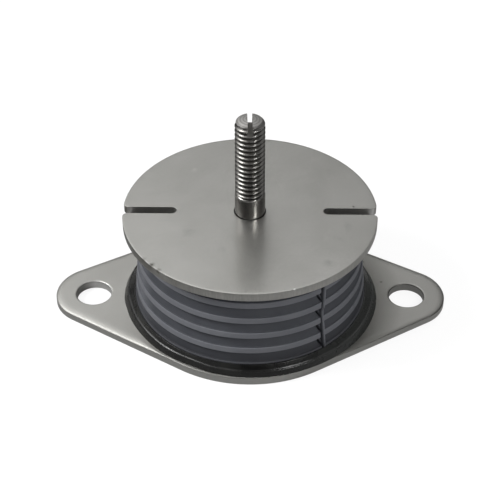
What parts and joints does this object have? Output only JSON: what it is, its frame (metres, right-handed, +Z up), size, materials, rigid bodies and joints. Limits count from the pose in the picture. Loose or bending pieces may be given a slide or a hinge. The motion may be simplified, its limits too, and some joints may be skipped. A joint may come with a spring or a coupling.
{
  "type": "rubber anti-vibration mount",
  "caption": "Rubber anti-vibration mount: a flanged steel base with bolt holes, a rubber core in a ribbed grey sleeve, and a slotted steel disc with a threaded stud.",
  "frame": {"origin": "centre of the base flange's underside, on the stud's axis", "axes": "+Z up the stud, +X through the two flange holes, the sleeve's seam at the front right (-Y, +X)"},
  "size_m": [0.112, 0.07, 0.0629],
  "materials": {
    "flange_steel": "satin stainless steel, pressed edges",
    "black_rubber": "moulded, half-glossy",
    "grey_rubber": "ribbed, matt",
    "disc_steel": "satin stainless steel, smooth top",
    "stud_steel": "rolled thread, darker and glossier than the plates"
  },
  "bodies": {
    "base": {"base_flange": "flange_steel", "rubber_core": "black_rubber", "ribbed_sleeve": "grey_rubber"},
    "top": {"top_disc": "disc_steel", "stud": "stud_steel"}
  },
  "joints": [
    {"name": "rubber_bounce", "type": "slide", "parent": "base", "child": "top", "axis": [0, 0, 1], "range_m": [-0.004, 0.001], "stiffness_N_per_m": 120000, "deforming": ["rubber_core", "ribbed_sleeve"]}
  ]
}
